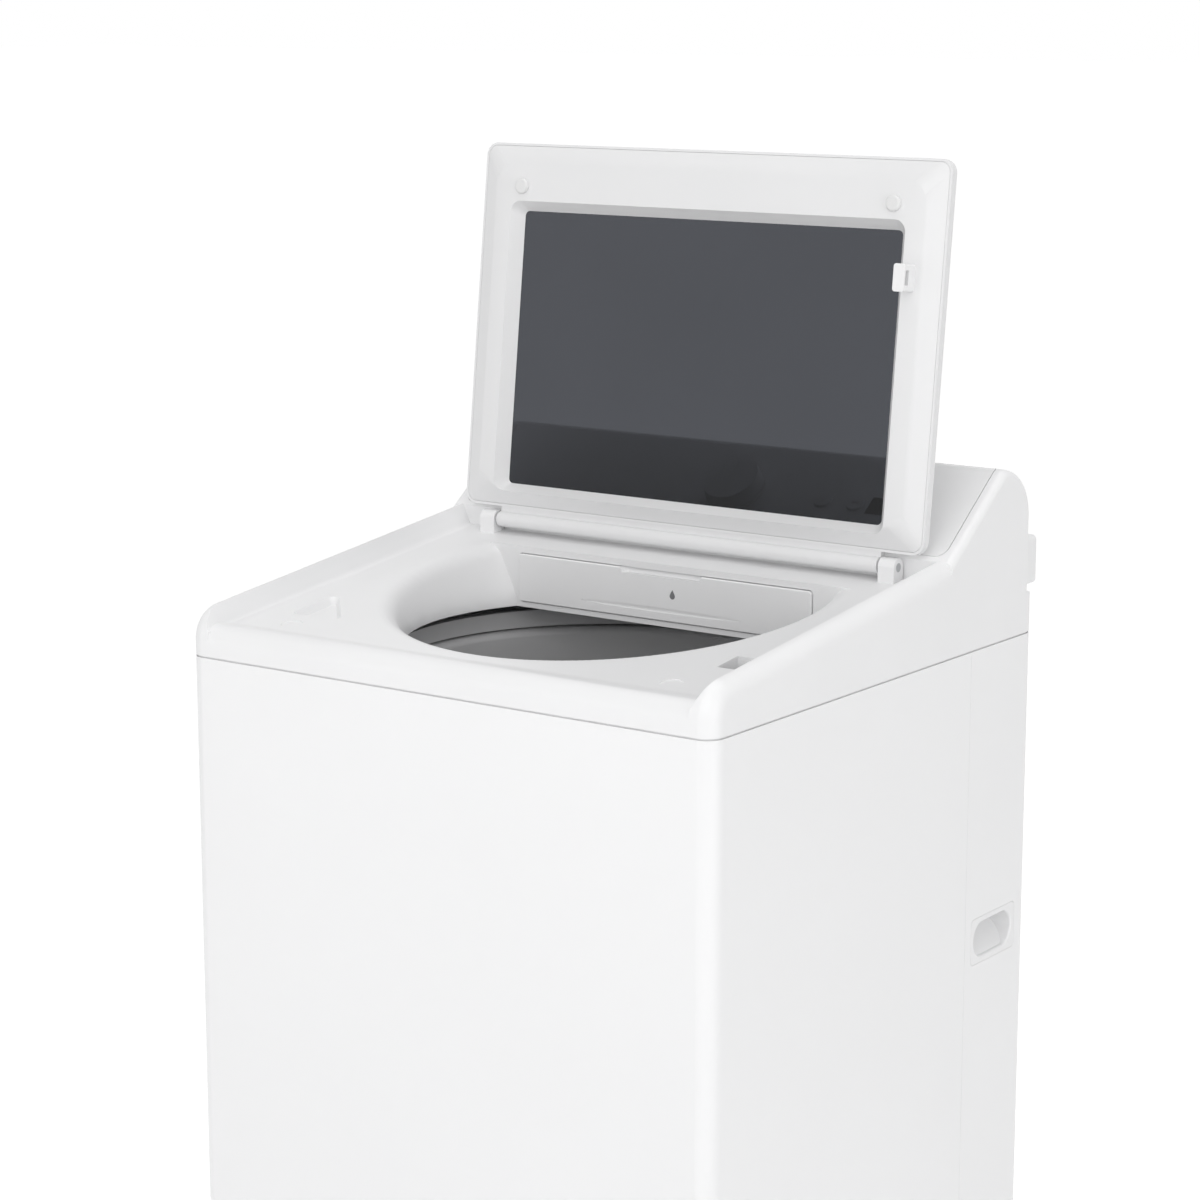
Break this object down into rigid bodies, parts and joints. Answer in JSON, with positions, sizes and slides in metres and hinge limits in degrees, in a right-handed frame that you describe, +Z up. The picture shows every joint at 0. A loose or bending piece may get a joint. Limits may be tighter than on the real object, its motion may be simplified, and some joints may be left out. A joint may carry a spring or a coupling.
{
  "type": "top load washing machine",
  "caption": "White top load washing machine with a tinted glass lid, a detergent drawer, a sloped dial console and a spring-hung tub with a spinning basket.",
  "frame": {"origin": "on the floor, under the middle of the overall width and depth", "axes": "+X to the viewer's right, front faces -Y, +Z up"},
  "size_m": [0.686, 0.7, 1.4763],
  "materials": {
    "white_enamel": "smooth gloss enamel",
    "white_plastic": "fine satin moulding",
    "panel_grey": "satin",
    "dark_plastic": "matt",
    "display_black": "gloss",
    "grey_plastic": "satin",
    "tub_plastic": "matt",
    "tinted_glass": "clear grey tint",
    "stainless": "brushed",
    "zinc_steel": "zinc plated",
    "cast_alloy": "as cast",
    "motor_steel": "matt",
    "bumper_rubber": "matt",
    "foot_rubber": "matt"
  },
  "bodies": {
    "machine": {"cabinet": "white_enamel", "rear_corner_sheets": "white_enamel", "corner_gussets": "white_enamel", "rear_panel": "zinc_steel", "rear_panel_screws": "zinc_steel", "base_frame": "dark_plastic", "foot_lock_nuts": "zinc_steel", "carry_handle_left": "white_plastic", "carry_handle_right": "white_plastic", "top_cover": "white_plastic", "hinge_bracket_left": "white_plastic", "hinge_bracket_right": "white_plastic", "console_housing": "white_plastic", "console_panel": "panel_grey", "display_window": "display_black", "control_box": "dark_plastic", "drawer_housing": "tub_plastic", "lid_lock": "white_plastic", "inlet_valve": "white_plastic", "drain_pump": "dark_plastic", "drain_outlet": "dark_plastic", "suspension_rod_front_left": "zinc_steel", "suspension_rod_front_right": "zinc_steel", "suspension_rod_rear_left": "zinc_steel", "suspension_rod_rear_right": "zinc_steel"},
    "lid": {"lid_frame": "white_plastic", "lid_inner_frame": "white_plastic", "lid_glass": "tinted_glass", "lid_bumpers": "bumper_rubber", "lid_strike": "white_plastic", "hinge_pin_left": "zinc_steel", "hinge_pin_right": "zinc_steel"},
    "drawer": {"drawer_front": "white_plastic", "drawer_tray": "white_plastic"},
    "dial": {"cycle_dial": "panel_grey", "dial_cap": "panel_grey"},
    "power_key": {"power_button": "panel_grey"},
    "start_key": {"start_button": "panel_grey"},
    "bolt": {"lock_bolt": "dark_plastic"},
    "tub_unit": {"outer_tub": "tub_plastic", "tub_lugs": "tub_plastic", "tub_cover": "grey_plastic", "bearing_housing": "cast_alloy", "stator": "motor_steel", "suspension_spring_front_left": "zinc_steel", "suspension_spring_front_right": "zinc_steel", "suspension_spring_rear_left": "zinc_steel", "suspension_spring_rear_right": "zinc_steel"},
    "basket": {"wash_basket": "stainless", "basket_floor": "stainless", "balance_ring": "grey_plastic", "basket_hub": "cast_alloy"},
    "wash_plate": {"pulsator": "grey_plastic", "pulsator_cap": "stainless", "drive_shaft": "zinc_steel", "rotor": "motor_steel"},
    "foot_front_left": {"foot_front_left": "foot_rubber"},
    "foot_front_right": {"foot_front_right": "foot_rubber"},
    "foot_rear_left": {"foot_rear_left": "foot_rubber"},
    "foot_rear_right": {"foot_rear_right": "foot_rubber"}
  },
  "joints": [
    {"name": "lid_hinge", "type": "hinge", "parent": "machine", "child": "lid", "pos_m": [0, 0.102, 1.038], "axis": [-1, 0, 0], "range_deg": [-103.3, 0]},
    {"name": "drawer_slide", "type": "slide", "parent": "machine", "child": "drawer", "axis": [0, -1, 0], "range_m": [0, 0.14]},
    {"name": "dial_turn", "type": "hinge", "parent": "machine", "child": "dial", "pos_m": [0.028, 0.17103, 1.08951], "axis": [0, -0.5976, 0.8018], "continuous": true},
    {"name": "power_press", "type": "slide", "parent": "machine", "child": "power_key", "axis": [0, -0.5976, 0.8018], "range_m": [-0.0015, 0], "stiffness_N_per_m": 1500, "springref_m": 0.0005},
    {"name": "start_press", "type": "slide", "parent": "machine", "child": "start_key", "axis": [0, -0.5976, 0.8018], "range_m": [-0.0015, 0], "stiffness_N_per_m": 1500, "springref_m": 0.0005},
    {"name": "bolt_slide", "type": "slide", "parent": "machine", "child": "bolt", "axis": [-1, 0, 0], "range_m": [0, 0.016]},
    {"name": "tub_bounce", "type": "slide", "parent": "machine", "child": "tub_unit", "axis": [0, 0, 1], "range_m": [-0.02, 0.008], "stiffness_N_per_m": 12000, "springref_m": 0.02641, "deforming": ["suspension_spring_front_left", "suspension_spring_front_right", "suspension_spring_rear_left", "suspension_spring_rear_right"]},
    {"name": "basket_spin", "type": "hinge", "parent": "tub_unit", "child": "basket", "pos_m": [0, -0.04, 0], "axis": [0, 0, 1], "continuous": true},
    {"name": "wash_plate_turn", "type": "hinge", "parent": "basket", "child": "wash_plate", "pos_m": [0, -0.04, 0], "axis": [0, 0, 1], "continuous": true},
    {"name": "foot_front_left_turn", "type": "hinge", "parent": "machine", "child": "foot_front_left", "pos_m": [-0.295, -0.302, 0], "axis": [0, 0, 1], "continuous": true},
    {"name": "foot_front_right_turn", "type": "hinge", "parent": "machine", "child": "foot_front_right", "pos_m": [0.295, -0.302, 0], "axis": [0, 0, 1], "continuous": true},
    {"name": "foot_rear_left_turn", "type": "hinge", "parent": "machine", "child": "foot_rear_left", "pos_m": [-0.295, 0.26, 0], "axis": [0, 0, 1], "continuous": true},
    {"name": "foot_rear_right_turn", "type": "hinge", "parent": "machine", "child": "foot_rear_right", "pos_m": [0.295, 0.26, 0], "axis": [0, 0, 1], "continuous": true}
  ]
}
